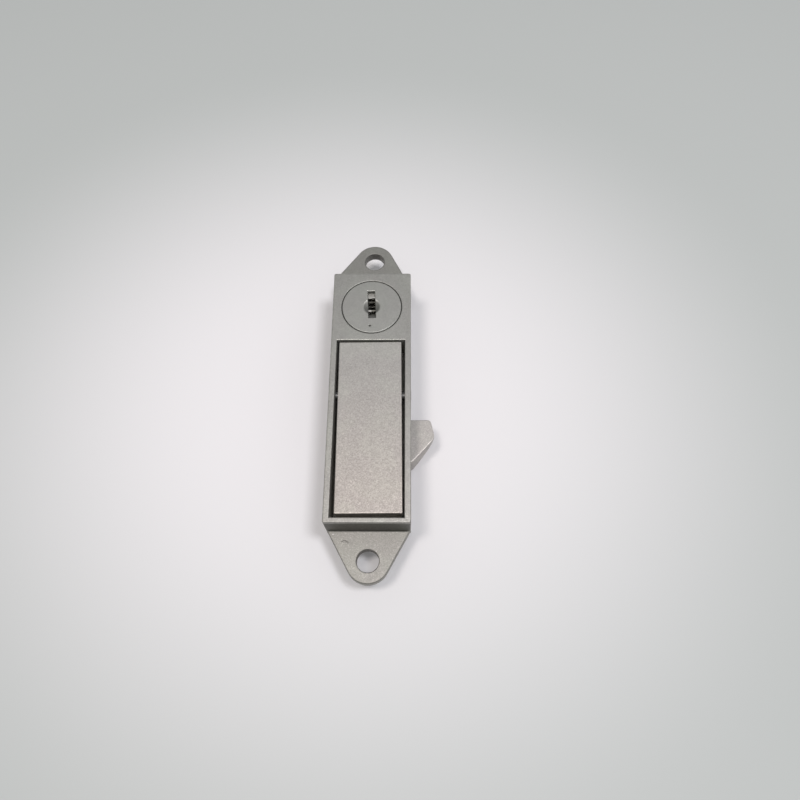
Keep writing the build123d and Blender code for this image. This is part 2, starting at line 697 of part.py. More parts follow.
def make_latch_spring():
    # the lower leg bears on the side wall, the upper one beside the thick head of the latch
    start = math.radians(latch_leg_turn)
    to_wall = latch_from_side - latch_wire / 2 - contact_gap - latch_coil_r * math.cos(start)
    return coil_wire((latch_x, latch_y, wall_back + latch_wire), (0, 0, 1), (1, 0, 0), latch_coil_r,
                     latch_coil_pitch, latch_coil_turns, start, to_wall / math.sin(start), latch_leg,
                     latch_wire, "latch_spring")


os.makedirs("parts", exist_ok=True)
save(make_housing(), "housing")
save(make_back_cover(), "back_cover")
save(Compound([make_cover_screw(x, y) for x, y in screw_spots]), "cover_screws")
save(make_paddle(), "paddle")
save(make_paddle_pin(), "paddle_pin")
save(make_paddle_spring(), "paddle_spring")
save(make_slide(), "release_slide")
save(Compound([make_rivet(x, y) for x, y in rivet_spots]), "slide_rivets")
save(make_latch(), "latch_hook")
save(make_latch_pin(), "latch_pin")
save(make_latch_spring(), "latch_spring")
save(make_plug(), "lock_plug")
for k in range(wafer_n):
    save(make_wafer(k), "wafer_" + str(k + 1))
save(Compound([make_wafer_spring(k) for k in range(wafer_n)]), "wafer_springs")
save(make_retaining_ring(), "plug_ring")
save(make_cam(), "locking_cam")
save(make_washer(), "cam_washer")
save(make_cam_screw(), "cam_screw")
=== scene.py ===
# Flush paddle lock for an electrical cabinet, lying on its back cover. Places are in metres.
import json
import math

import bmesh
import bpy
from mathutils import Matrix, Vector


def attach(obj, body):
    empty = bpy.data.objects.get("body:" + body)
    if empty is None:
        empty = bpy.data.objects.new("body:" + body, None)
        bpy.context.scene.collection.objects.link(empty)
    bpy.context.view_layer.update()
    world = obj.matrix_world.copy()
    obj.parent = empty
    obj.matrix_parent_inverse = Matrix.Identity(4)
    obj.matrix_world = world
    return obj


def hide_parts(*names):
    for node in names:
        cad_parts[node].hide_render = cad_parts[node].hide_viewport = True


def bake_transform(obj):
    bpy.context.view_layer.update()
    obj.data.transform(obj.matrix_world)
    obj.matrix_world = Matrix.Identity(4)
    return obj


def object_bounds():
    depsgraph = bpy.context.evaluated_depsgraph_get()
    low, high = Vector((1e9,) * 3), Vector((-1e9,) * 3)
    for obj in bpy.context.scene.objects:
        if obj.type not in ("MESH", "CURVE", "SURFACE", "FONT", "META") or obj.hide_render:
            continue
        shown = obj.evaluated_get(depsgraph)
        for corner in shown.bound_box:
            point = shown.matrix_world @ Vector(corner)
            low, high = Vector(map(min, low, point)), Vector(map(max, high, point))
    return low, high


mm = 0.001
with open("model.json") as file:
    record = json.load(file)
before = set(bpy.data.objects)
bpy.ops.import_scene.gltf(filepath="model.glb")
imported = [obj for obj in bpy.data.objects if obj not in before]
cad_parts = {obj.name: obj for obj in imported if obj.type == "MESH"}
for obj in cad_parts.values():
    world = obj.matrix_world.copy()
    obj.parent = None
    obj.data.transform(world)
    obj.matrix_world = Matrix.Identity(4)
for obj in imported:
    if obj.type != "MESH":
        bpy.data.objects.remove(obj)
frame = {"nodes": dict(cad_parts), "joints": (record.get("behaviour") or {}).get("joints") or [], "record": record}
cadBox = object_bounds()
nodes = frame["nodes"]
front = cadBox[1].z
pivots = {joint["name"]: joint.get("pos_m") for joint in frame["joints"]}
mounts = {mount["name"]: mount["dims"] for mount in frame["record"]["mounts"]}
plugCentre = (pivots["plug_turn"][0], pivots["plug_turn"][1], 0)
holeY = mounts["mounting_holes"]["spacing_y_mm"] / 2 * mm
holeRadius = mounts["mounting_holes"]["hole_r_mm"] * mm
bpy.ops.object.select_all(action="DESELECT")
print("frame loaded with", len(nodes), "nodes")


class Sock:
    # an output socket; arithmetic on it adds Math nodes
    def __init__(self, tree, out):
        self.tree = tree
        self.out = out

    def make(self, kind, settings=None, inputs=None):
        node = self.tree.nodes.new(kind)
        for key, value in (settings or {}).items():
            setattr(node, key, value)
        for key, value in (inputs or {}).items():
            if isinstance(value, Sock):
                self.tree.links.new(value.out, node.inputs[key])
            else:
                node.inputs[key].default_value = value
        return node

    def take(self, kind, settings=None, inputs=None, output=0):
        return Sock(self.tree, self.make(kind, settings, inputs).outputs[output])

    def mathNode(self, operation, a, b=0.0, clamp=False):
        return self.take("ShaderNodeMath", {"operation": operation, "use_clamp": clamp}, {0: a, 1: b})

    def vectorNode(self, operation, other=(0, 0, 0), output=0):
        return self.take("ShaderNodeVectorMath", {"operation": operation}, {0: self, 1: other}, output)

    def __add__(self, other):
        return self.mathNode("ADD", self, other)

    def __radd__(self, other):
        return self.mathNode("ADD", other, self)

    def __sub__(self, other):
        return self.mathNode("SUBTRACT", self, other)

    def __rsub__(self, other):
        return self.mathNode("SUBTRACT", other, self)

    def __mul__(self, other):
        return self.mathNode("MULTIPLY", self, other)

    def __rmul__(self, other):
        return self.mathNode("MULTIPLY", other, self)

    def absolute(self):
        return self.mathNode("ABSOLUTE", self)

    def larger(self, other):
        return self.mathNode("MAXIMUM", self, other)

    def clamped(self):
        return self.mathNode("ADD", self, clamp=True)

    def swing(self, share):
        # how far a noise is from its middle, times share
        return (self - 0.5) * share

    def part(self, index):
        # x, y or z of a vector
        return self.take("ShaderNodeSeparateXYZ", {}, {0: self}, index)

    def flat(self):
        # the same place at no height
        return self.take("ShaderNodeCombineXYZ", {}, {0: self.part(0), 1: self.part(1)})

    def distance(self, point):
        return self.vectorNode("DISTANCE", point, 1)

    def above(self, low, high):
        # 0 below low, 1 above high
        return self.take("ShaderNodeMapRange", {"interpolation_type": "SMOOTHSTEP"},
                         {"Value": self, "From Min": low, "From Max": high})

    def below(self, low, high):
        # 1 below low, 0 above high
        return 1.0 - self.above(low, high)

    def blend(self, a, b, mode="MIX"):
        # colour a where self is 0; where it is 1, colour b, or a multiplied by b
        return self.take("ShaderNodeMix", {"data_type": "RGBA", "blend_type": mode},
                         {0: self, 6: a, 7: b}, 2)

    def tint(self, colour, tone):
        # the colour multiplied by tone where self is 1
        return self.blend(colour, rgb(tone), "MULTIPLY")


def rgb(tone):
    return (*tone, 1.0)


def startMaterial(name):
    material = bpy.data.materials.new(name)
    material.use_nodes = True
    tree = material.node_tree
    tree.nodes.clear()
    root = Sock(tree, None)
    place = root.take("ShaderNodeTexCoord", output=3)
    return material, root, place


def endMaterial(root, shader):
    root.make("ShaderNodeOutputMaterial", {}, {"Surface": Sock(root.tree, shader.outputs[0])})


def noise(place, size, detail=2.0, rough=0.5, stretch=(1, 1, 1)):
    # a noise whose lumps are about size metres wide
    where = place
    if stretch != (1, 1, 1):
        where = place.take("ShaderNodeMapping", {}, {"Vector": place, "Scale": stretch})
    return place.take("ShaderNodeTexNoise", {"noise_dimensions": "3D"},
                      {"Vector": where, "Scale": 1 / size, "Detail": detail, "Roughness": rough})


def flakes(place, size):
    # flat cells, each with a chance tone
    cells = place.take("ShaderNodeTexVoronoi", {"feature": "F1"},
                       {"Vector": place, "Scale": 1 / size}, 1)
    return place.take("ShaderNodeSeparateColor", {}, {0: cells})


def roundedNormal(place, reach):
    return place.take("ShaderNodeBevel", {"samples": 6}, {"Radius": reach})


# Edges and corners, which the shaders find for themselves
edgeLook = {
    "sharp": (0.0008, 0.026),  # 1 - cosine of the normal's turn, from no edge to a full one
    "upright": (0.1, 0.4),  # a wall whose normal rises less than this is no fillet
    "open": (0.45, 0.95),  # how open a place is, inside a corner and out of it
}


def wornEdge(place, rounded):
    # 1 on edges, 0 on flats; the second half finds the CAD's own fillets round a front face
    plain = place.take("ShaderNodeNewGeometry", output=1)
    sharp = (1.0 - rounded.vectorNode("DOT_PRODUCT", plain, 1)).above(*edgeLook["sharp"])
    facing = rounded.part(2).absolute()
    leaning = (1.0 - facing).above(*edgeLook["sharp"]) * facing.above(*edgeLook["upright"])
    return sharp.larger(leaning)


def innerCorner(place, reach):
    # 1 in the corner where two faces meet inwards, 0 in the open
    openness = place.take("ShaderNodeAmbientOcclusion", {"samples": 6, "only_local": True},
                          {"Distance": reach}, 1)
    return openness.below(*edgeLook["open"])


# Zinc casting: first its darker lower faces, painted shade and painted light, and wear, then the blasted metal
lowerToneAndShadeLook = {
    "level": front - 0.8 * mm,  # the casting is darker below the front face
    "fade": 0.6 * mm,
    "tone": (0.86, 0.855, 0.845),
    "endY": -42.5 * mm,  # painted shade on the grip end's face, above the ear
    "endZ": 0.3 * mm,
    "endFade": 0.05 * mm,
    "endShadeTone": (0.38, 0.386, 0.366),
    "endEven": 0.75,
    "endPatch": 0.5,
    # painted shade on the walls of each mounting hole, darker in the grip end's hole
    "holes": {-holeY: (0.55, 0.53, 0.52), holeY: (0.95, 0.95, 0.95)},
    "holeWall": (holeRadius + 0.03 * mm, holeRadius + 0.06 * mm),
}


def darkerBelowAndShade(place, colour, patch):
    # darker below the front face on the housing's sides and ears; painted shade on its grip end's face and on the
    # walls of its mounting holes
    look = lowerToneAndShadeLook
    along = place.part(1)
    height = place.part(2)
    under = height.below(look["level"] - look["fade"], look["level"])
    colour = under.tint(colour, look["tone"])
    # painted shade on the grip end's face, patchy
    end = along.below(look["endY"] - look["endFade"], look["endY"])
    end = end * height.above(look["endZ"] * 0.5, look["endZ"]) * under
    end = (end * (look["endEven"] + patch * look["endPatch"])).clamped()
    colour = end.tint(colour, look["endShadeTone"])
    # painted shade on the walls of the mounting holes
    for y, tone in look["holes"].items():
        wall = place.flat().distance((0, y, 0)).below(*look["holeWall"])
        colour = wall.tint(colour, tone)
    return colour


gapLightLook = {
    "tone": (1.46, 1.48, 1.47),  # painted light where the paddle and its recess face each other
    "half": 10.7 * mm,
    "keyEnd": 15.15 * mm,
    "top": front - 0.5 * mm,
    "fade": 0.1 * mm,
}


def gapLightMask(place, start):
    # 1 inside the recess, from start to its key end
    look = gapLightLook
    fade = look["fade"]
    along = place.part(1)
    within = place.part(0).absolute().below(look["half"], look["half"] + fade)
    within = within * along.above(start - fade, start)
    within = within * along.below(look["keyEnd"], look["keyEnd"] + fade)
    return within * place.part(2).below(look["top"], look["top"] + fade)


keyLook = {
    "mark": (-0.45 * mm, 20.25 * mm, front - 0.1 * mm),
    "markReach": (0.304 * mm, 0.494 * mm),
    "markShade": 0.12,
    "turn": 3.0,
    "half": 1.12 * mm,
    "halfFade": 0.03 * mm,
    "top": front - 0.1 * mm,
    "topFade": 0.35 * mm,
    "keyShade": 0.1,
    "armShade": 0.65,  # more painted shade in the slot's lower arm and at its far end
    "arm": (25.6 * mm, 25.9 * mm),
    "farEnd": (32.6 * mm, 32.8 * mm),
    "keyShadeRough": 0.15,
    "dimple": (2.3 * mm, 2.7 * mm),
    "dimpleShadeTone": (0.62, 0.62, 0.61),
    "cornerShare": 0.2,
    "wear": 0.6,
}


def keyShadeMask(place):
    # painted shade: 1 in the index mark and inside the keyway
    look = keyLook
    spot = place.distance(look["mark"]).below(*look["markReach"])
    turned = place.take("ShaderNodeMapping", {"vector_type": "TEXTURE"}, {
        "Vector": place, "Location": plugCentre, "Rotation": (0, 0, math.radians(look["turn"]))})
    inside = turned.part(0).absolute().below(look["half"], look["half"] + look["halfFade"])
    inside = inside * place.part(2).below(look["top"] - look["topFade"], look["top"])
    arms = place.part(1).below(*look["arm"]) + place.part(1).above(*look["farEnd"])
    return (spot * look["markShade"] + inside * (look["keyShade"] + arms * look["armShade"])).clamped()


wearLook = {
    "edgeReach": 0.3 * mm,  # worn strip beside an edge
    "edgeTone": (1.34, 1.33, 1.31),
    "edgeRough": 0.38,
    "edgeEven": 0.45,  # wear everywhere, and what a patch adds to it
    "edgePatch": 0.9,
    "ringInside": (8.7 * mm, 9.0 * mm),  # calmer edges round the plug
    "ringOutside": (10.0 * mm, 10.3 * mm),
    "ringCalm": 0.8,
    "earTop": 0.5 * mm,  # below this an edge is darkened and not worn bright
    "earEdgeTone": (0.88, 0.88, 0.87),
    "endCalm": 0.65,  # the grip end's edges are hardly worn
    "cornerReach": 0.8 * mm,
    "cornerShade": 0.5,
}


def wearZinc(place, colour, roughness, patch, finish):
    # painted shade in the inner corners, bright worn metal on the edges
    look = wearLook
    rounded = roundedNormal(place, look["edgeReach"])
    corner = innerCorner(place, look["cornerReach"])
    edge = wornEdge(place, rounded) * (look["edgeEven"] + patch * look["edgePatch"])
    edge = (edge * (1.0 - corner)).clamped()
    toPlug = place.flat().distance(plugCentre)
    ring = toPlug.above(*look["ringInside"]) * toPlug.below(*look["ringOutside"])
    edge = edge * (1.0 - ring * look["ringCalm"])
    if finish.get("keyed"):
        hollow = toPlug.below(*keyLook["dimple"])
        corner = corner * keyLook["cornerShare"]
        edge = edge * keyLook["wear"] * (1.0 - hollow)
        # painted shade in the dimple
        colour = hollow.tint(colour, keyLook["dimpleShadeTone"])
    if finish.get("darkBelowAndShaded"):
        low = edge * place.part(2).below(look["earTop"], look["earTop"] * 2)
        colour = low.tint(colour, look["earEdgeTone"])
        reach = look["edgeReach"]
        atEnd = place.part(1).below(lowerToneAndShadeLook["endY"] + reach, lowerToneAndShadeLook["endY"] + reach * 2)
        edge = (edge - low) * (1.0 - atEnd * look["endCalm"])
    # painted shade in the inner corners
    colour = (corner * look["cornerShade"]).tint(colour, zincLook["paintedShade"])
    colour = edge.tint(colour, look["edgeTone"])
    roughness = roughness + (look["edgeRough"] - roughness) * edge
    return colour, roughness, rounded


zincLook = {
    "cloud": 9.0 * mm,  # lumps of tone, from clouds down to the blasted grain
    "patch": 2.6 * mm,
    "grain": 0.34 * mm,
    "fineGrain": 0.16 * mm,
    "speck": 0.3 * mm,
    "cloudShare": 0.5,  # what each of them adds to the tone
    "patchShare": 0.32,
    "grainShare": 1.1,
    "speckShare": 0.3,
    "bright": (0.9, 1.0),  # the few specks that shine
    "brightShare": 0.08,
    "grainRough": 0.16,  # and to the roughness
    "patchRough": 0.08,
    "brightRough": 0.05,
    "grainRelief": 0.6,  # and to the relief
    "fineRelief": 0.5,
    "speckRelief": 0.2,
    "bump": 0.5,
    "bumpDepth": 0.03 * mm,
    "metallic": 0.9,
    "gripEnd": (-45 * mm, 20 * mm),  # between these along y the grain grows and a painted warm light comes in
    "gripGrain": 0.85,
    "paintedWarmLight": (1.05, 0.985, 0.955),  # towards the grip end
    "coolTint": (0.985, 1.0, 0.985),  # in its lighter clouds
    "coolCloud": (0.42, 0.62),
    "paintedShade": (0.12, 0.12, 0.115),
}


def castZinc(name, finish):
    # clouded tone, grain in tone and relief, sparse bright specks
    look = zincLook
    material, root, place = startMaterial(name)
    cloud = noise(place, look["cloud"], 2.0)
    patch = noise(place, look["patch"], 3.0, 0.6)
    coarse = noise(place, look["grain"], 2.0, 0.6)
    fine = noise(place, look["fineGrain"], 1.0)
    speck = flakes(place, look["speck"])
    bright = speck.above(*look["bright"])
    gripEnd = place.part(1).below(*look["gripEnd"])
    strength = (1.0 + gripEnd * look["gripGrain"]) * finish["grain"]
    grain = coarse.swing(look["grainShare"]) + fine.swing(look["grainShare"])
    grain = grain + speck.swing(look["speckShare"]) + bright * look["brightShare"]
    tone = 0.5 + cloud.swing(look["cloudShare"]) + patch.swing(look["patchShare"]) + grain * strength
    colour = tone.clamped().blend(rgb(finish["dark"]), rgb(finish["light"]))
    colour = cloud.above(*look["coolCloud"]).tint(colour, look["coolTint"])
    # painted warm light towards the grip end
    colour = (gripEnd * finish["warm"]).tint(colour, look["paintedWarmLight"])
    roughness = finish["rough"] + coarse.swing(look["grainRough"]) + patch.swing(look["patchRough"])
    roughness = roughness - bright * look["brightRough"] * strength
    if finish.get("darkBelowAndShaded"):
        colour = darkerBelowAndShade(place, colour, patch)
    if "gapLightFrom" in finish:
        # painted light in the gaps between the paddle and its recess
        colour = gapLightMask(place, finish["gapLightFrom"]).tint(colour, gapLightLook["tone"])
    relief = coarse * look["grainRelief"] + fine * look["fineRelief"] + speck * look["speckRelief"]
    bump = {"Strength": look["bump"], "Distance": look["bumpDepth"], "Height": relief * finish["grain"]}
    if finish.get("worn", True):
        colour, roughness, rounded = wearZinc(place, colour, roughness, patch, finish)
        bump["Normal"] = rounded
    if finish.get("keyed"):
        # painted shade in the index mark and the keyway
        keyShade = keyShadeMask(place)
        colour = keyShade.tint(colour, look["paintedShade"])
        roughness = roughness + keyShade * keyLook["keyShadeRough"]
    shader = root.make("ShaderNodeBsdfPrincipled", {}, {
        "Base Color": colour, "Roughness": roughness.clamped(), "Metallic": look["metallic"],
        "Normal": place.take("ShaderNodeBump", {}, bump)})
    endMaterial(root, shader)
    return material


zincFinishes = {
    "housing_zinc": {
        "dark": (0.268, 0.266, 0.250), "light": (0.416, 0.410, 0.391), "rough": 0.57,
        "grain": 0.9, "warm": 0.35, "darkBelowAndShaded": True, "gapLightFrom": -41.15 * mm,
    },
    "paddle_zinc": {
        "dark": (0.31, 0.301, 0.287), "light": (0.50, 0.485, 0.464), "rough": 0.61,
        "grain": 1.0, "warm": 0.9, "gapLightFrom": -39.8 * mm,
    },
    "latch_zinc": {
        "dark": (0.34, 0.328, 0.316), "light": (0.55, 0.531, 0.512), "rough": 0.61,
        "grain": 1.0, "warm": 0.5,
    },
    "plug_zinc": {
        "dark": (0.305, 0.304, 0.288), "light": (0.430, 0.426, 0.405), "rough": 0.5,
        "grain": 0.6, "warm": 0.3, "keyed": True,
    },
    "mark_zinc": {  # the pips
        "dark": (0.50, 0.490, 0.470), "light": (0.72, 0.705, 0.680), "rough": 0.5,
        "grain": 0.5, "warm": 0.3, "worn": False,
    },
}

# Zinc-plated and drawn steel, and the nickel-silver wafers
steelLook = {
    "cloud": 5.0 * mm,
    "streak": 0.3 * mm,
    "spangle": 1.4 * mm,
    "cloudShare": 0.8,  # what each of them adds to the tone
    "streakShare": 0.6,
    "spangleShare": 0.25,
    "cloudRough": 0.18,  # and to the roughness
    "streakRough": 0.14,
    "bump": 0.4,
    "bumpDepth": 0.012 * mm,
    "rimReach": 0.15 * mm,
    "rimTone": (1.5, 1.5, 1.48),
    "rimShine": 0.1,
}
waferShade = {
    "level": (7.6 * mm, 7.8 * mm),
    "spot": (1.1 * mm, 26.7 * mm, 8.6 * mm),
    "reach": (1.05 * mm, 1.5 * mm),
    "tone": (0.34, 0.34, 0.32),
}


def platedSteel(name, finish):
    # soft cloud, fine brushed streaks, worn rims; painted shade deep in the keyway
    look = steelLook
    material, root, place = startMaterial(name)
    cloud = noise(place, look["cloud"], 3.0)
    streak = noise(place, look["streak"], 2.0, 0.6, finish.get("brush", (1, 1, 1)))
    tone = 0.5 + cloud.swing(look["cloudShare"]) + streak.swing(look["streakShare"])
    tone = tone + flakes(place, look["spangle"]).swing(look["spangleShare"])
    colour = tone.clamped().blend(rgb(finish["dark"]), rgb(finish["light"]))
    roughness = finish["rough"] + cloud.swing(look["cloudRough"]) + streak.swing(look["streakRough"])
    rounded = roundedNormal(place, look["rimReach"])
    if finish.get("shadedDeep"):
        # painted shade on the deeper wafers and on a spot of the first one
        deep = place.part(2).below(*waferShade["level"])
        spot = place.distance(waferShade["spot"]).below(*waferShade["reach"])
        colour = deep.larger(spot).tint(colour, waferShade["tone"])
    else:
        rim = wornEdge(place, rounded)
        colour = rim.tint(colour, look["rimTone"])
        roughness = roughness - rim * look["rimShine"]
    bump = place.take("ShaderNodeBump", {}, {
        "Strength": look["bump"], "Distance": look["bumpDepth"], "Height": streak, "Normal": rounded})
    shader = root.make("ShaderNodeBsdfPrincipled", {}, {
        "Base Color": colour, "Roughness": roughness.clamped(), "Metallic": 1.0, "Normal": bump})
    endMaterial(root, shader)
    return material


steelFinishes = {
    "cover_steel": {
        "dark": (0.42, 0.43, 0.44), "light": (0.62, 0.63, 0.64), "rough": 0.36, "brush": (1, 0.12, 1),
    },
    "slide_steel": {
        "dark": (0.40, 0.40, 0.41), "light": (0.60, 0.60, 0.60), "rough": 0.34, "brush": (1, 0.15, 1),
    },
    "screw_steel": {"dark": (0.46, 0.46, 0.46), "light": (0.72, 0.72, 0.71), "rough": 0.26},
    "pin_steel": {
        "dark": (0.2, 0.2, 0.202), "light": (0.34, 0.338, 0.334), "rough": 0.42, "brush": (0.2, 1, 1),
    },
    # a darker copy of the pin steel, painted shade for a pin that sits in a gap
    "cross_pin_steel": {
        "dark": (0.11, 0.11, 0.112), "light": (0.2, 0.199, 0.197), "rough": 0.5, "brush": (0.2, 1, 1),
    },
    "spring_steel": {"dark": (0.22, 0.22, 0.23), "light": (0.42, 0.42, 0.43), "rough": 0.30},
    "wafer_nickel": {
        "dark": (0.62, 0.61, 0.57), "light": (0.88, 0.86, 0.81), "rough": 0.42, "brush": (1, 0.2, 1),
        "shadedDeep": True,
    },
}
materials = {name: castZinc(name, finish) for name, finish in zincFinishes.items()}
materials.update({name: platedSteel(name, finish) for name, finish in steelFinishes.items()})
print("materials made")


def paint(obj, slot):
    obj.data.materials.clear()
    obj.data.materials.append(materials[slot])


for obj in nodes.values():
    # a node comes with a plain material that is named for its finish
    old = obj.data.materials[0].name
    paint(obj, next(slot for slot in materials if old.startswith(slot)))
# the paddle's pin sits in the gap beside the paddle; its darker steel is painted shade
paint(nodes["paddle_pin"], "cross_pin_steel")
print("nodes painted")


def deselect():
    bpy.ops.object.select_all(action="DESELECT")


def pickVerts(obj, test):
    # in edit mode, selects the vertices whose place passes the test
    bpy.ops.mesh.select_mode(type="VERT")
    bpy.ops.mesh.select_all(action="DESELECT")
    mesh = bmesh.from_edit_mesh(obj.data)
    for vert in mesh.verts:
        vert.select = test(vert.co)
    mesh.select_flush(True)
    bmesh.update_edit_mesh(obj.data)


def applyPlace():
    bpy.ops.object.transform_apply(location=True, rotation=True, scale=True)


def bakeModifiers(obj):
    for modifier in list(obj.modifiers):
        bpy.ops.object.modifier_apply(modifier=modifier.name)


smoothBelow = math.radians(32)  # faces that meet flatter than this are shaded as one


def finishPiece(obj, name, slot, finish=None):
    obj.name = name
    applyPlace()
    bpy.ops.object.shade_smooth_by_angle(angle=smoothBelow)
    paint(obj, finish or slot)


# Springs, wound as a smooth wire
paddleCoil = {
    "wire": 0.5 * mm, "radius": 1.95 * mm, "pitch": 0.95 * mm, "turns": 5.25, "start": 90.0,
    "firstLeg": 8.0 * mm, "lastLeg": 4.7 * mm, "sides": 14, "stepsPerTurn": 28,
}
latchCoil = {
    "wire": 0.7 * mm, "radius": 3.1 * mm, "pitch": 1.15 * mm, "turns": 3.0, "start": 30.0,
    "firstLeg": 4.03 * mm, "lastLeg": 8.6 * mm, "sides": 14, "stepsPerTurn": 28,
    "foot": -10.4 * mm,
}
weld = 0.001 * mm  # vertices closer than this become one


def windCoil(look):
    # a helix about Z from the origin, with a straight leg at each end
    deselect()
    wire, r, pitch, turns = look["wire"], look["radius"], look["pitch"], look["turns"]
    bpy.ops.mesh.primitive_circle_add(vertices=look["sides"], radius=wire / 2, location=(r, 0, 0),
                                      rotation=(math.radians(90), 0, 0))
    coil = bpy.context.object
    applyPlace()
    screw = coil.modifiers.new("wind", "SCREW")
    screw.axis = "Z"
    screw.angle = 2 * math.pi * turns
    screw.screw_offset = pitch * turns
    screw.steps = int(look["stepsPerTurn"] * turns)
    screw.render_steps = screw.steps
    bakeModifiers(coil)
    bpy.ops.object.mode_set(mode="EDIT")
    lap = 2 * math.pi * r
    slant = math.hypot(pitch, lap)
    slack = wire / 20  # off the end circle's plane
    reach = wire * 0.6  # past the wire's own radius
    for share, length in ((0.0, -look["firstLeg"]), (1.0, look["lastLeg"])):
        angle = 2 * math.pi * turns * share
        end = Vector((r * math.cos(angle), r * math.sin(angle), pitch * turns * share))
        ahead = Vector((-math.sin(angle) * lap, math.cos(angle) * lap, pitch)) / slant

        def onEnd(co):
            # on the wire's end circle, which stands square to its way round
            past = (co.x - end.x) * -math.sin(angle) + (co.y - end.y) * math.cos(angle)
            return abs(past) < slack and math.dist(co, end) < reach

        pickVerts(coil, onEnd)
        bpy.ops.mesh.extrude_region_move(TRANSFORM_OT_translate={"value": ahead * length})
        bpy.ops.mesh.edge_face_add()
    bpy.ops.mesh.select_all(action="SELECT")
    bpy.ops.mesh.remove_doubles(threshold=weld)
    bpy.ops.mesh.normals_make_consistent(inside=False)
    bpy.ops.object.mode_set(mode="OBJECT")
    coil.rotation_euler = (0, 0, math.radians(look["start"]))
    applyPlace()
    return coil


def makeSprings():
    # each coil sits round its joint's pin and is held by a leg at either end
    x, y, z = pivots["paddle_tilt"]
    half = paddleCoil["pitch"] * paddleCoil["turns"] / 2
    coil = windCoil(paddleCoil)
    coil.rotation_euler = (math.radians(90), 0, math.radians(90))
    coil.location = (x - half, y, z)
    finishPiece(coil, "paddleCoil", "spring_steel")
    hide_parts("paddle_spring")
    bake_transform(coil)
    x, y, z = pivots["latch_swing"]
    foot = latchCoil["foot"]
    coil = windCoil(latchCoil)
    coil.location = (x, y, foot)
    finishPiece(coil, "latchCoil", "spring_steel")
    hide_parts("latch_spring")
    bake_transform(coil)


makeSprings()
print("springs wound")

# What the die leaves on the casting
ejectorLook = {
    "place": (-6.94 * mm, -47.0 * mm), "radius": 1.3 * mm, "wire": 0.3 * mm, "height": 0.075 * mm,
    "sink": 0.12 * mm, "lean": (4.5, -1.0), "slices": 64, "sides": 12,
    "thinFrom": 0.3, "thin": 0.6,
}
pipLook = {
    "rise": 0.42, "narrow": 0.82, "turn": 1.1, "sink": 0.3, "lumps": 0.12,
    "spots": (  # x, y, radius in mm, and the face they stand on
        (-10.34, -43.6, 0.34, "ear"), (2.45, -48.56, 0.19, "ear"), (7.2, -50.52, 0.19, "ear"),
        (-4.56, -53.09, 0.14, "ear"), (-2.19, -55.53, 0.13, "ear"), (8.6, -45.9, 0.11, "ear"),
        (-11.15, -8.92, 0.2, "rim"), (11.2, -37.4, 0.1, "rim"), (11.3, 3.4, 0.1, "rim"),
        (9.6, 51.3, 0.1, "ear"),
    ),
}
gateLook = {
    "x": 1.6 * mm, "from": -42.35 * mm, "to": -41.15 * mm, "across": 0.16 * mm, "height": 0.06 * mm,
    "cuts": 3, "top": (0.45, 0.86, 1), "lean": 0.08 * mm, "leanShare": 0.3,
}
seamLook = {
    "level": -3.3 * mm, "bead": 0.07 * mm, "shell": 0.3 * mm, "sides": 2, "weld": 0.002 * mm,
}


def makeEjectorMark():
    # the low arch that an ejector pin left on the ear: a ring that leans into it
    look = ejectorLook
    deselect()
    bpy.ops.mesh.primitive_torus_add(major_radius=look["radius"], minor_radius=look["wire"],
                                     major_segments=look["slices"], minor_segments=look["sides"])
    arch = bpy.context.object
    bpy.ops.object.mode_set(mode="EDIT")
    pickVerts(arch, lambda co: co.y < look["radius"] * look["thinFrom"])
    bpy.ops.transform.resize(value=(1, 1, look["thin"]), center_override=(0, 0, 0))
    bpy.ops.mesh.select_all(action="SELECT")
    bpy.ops.mesh.vertices_smooth(factor=0.5, repeat=3)
    bpy.ops.mesh.normals_make_consistent(inside=False)
    bpy.ops.object.mode_set(mode="OBJECT")
    arch.scale = (1, 1, look["height"] / look["wire"])
    applyPlace()
    arch.rotation_euler = [math.radians(a) for a in (*look["lean"], 0)]
    arch.location = (*look["place"], -look["sink"])
    finishPiece(arch, "ejectorMark", "housing_zinc")
    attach(arch, "root")


def makePips():
    # small lumps of metal that stand on the cast faces
    look = pipLook
    levels = {"ear": 0.0, "rim": front}
    for index, (x, y, radius, face) in enumerate(look["spots"]):
        deselect()
        bpy.ops.mesh.primitive_ico_sphere_add(subdivisions=3, radius=radius * mm)
        pip = bpy.context.object
        bpy.ops.object.mode_set(mode="EDIT")
        bpy.ops.mesh.select_all(action="SELECT")
        bpy.ops.transform.vertex_random(offset=radius * mm * look["lumps"], seed=index + 1)
        bpy.ops.mesh.vertices_smooth(factor=0.5)
        bpy.ops.object.mode_set(mode="OBJECT")
        pip.scale = (1, look["narrow"], look["rise"])
        pip.rotation_euler = (0, 0, index * look["turn"])
        pip.location = (x * mm, y * mm, levels[face] - radius * mm * look["rise"] * look["sink"])
        finishPiece(pip, "castPip" + str(index + 1), "housing_zinc", "mark_zinc")
        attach(pip, "root")


